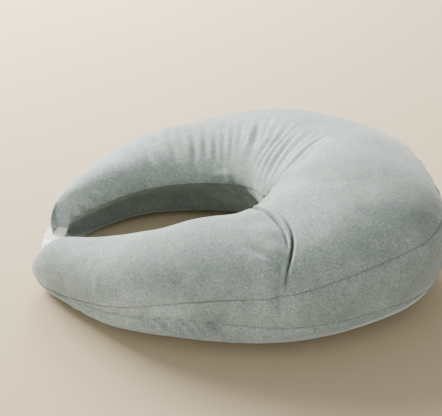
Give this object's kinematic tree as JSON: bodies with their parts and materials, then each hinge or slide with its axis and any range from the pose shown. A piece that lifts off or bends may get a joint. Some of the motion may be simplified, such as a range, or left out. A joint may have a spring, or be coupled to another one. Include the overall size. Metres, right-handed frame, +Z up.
{
  "type": "u-shaped pregnancy pillow",
  "caption": "Small u-shaped pregnancy and nursing cushion of short-pile velvet with a deep fold by its thick back and a white elastic strap joining the tips.",
  "frame": {"origin": "middle of the underside's bounding box, on the surface that the cushion lies on", "axes": "+X from the two tips towards the thick back, +Z up out of the cushion's face"},
  "size_m": [0.4796, 0.418, 0.1497],
  "materials": {
    "velvet": "matt",
    "elastic": "matt"
  },
  "bodies": {
    "root": {"pillow": "velvet", "strap": "elastic"}
  },
  "joints": []
}
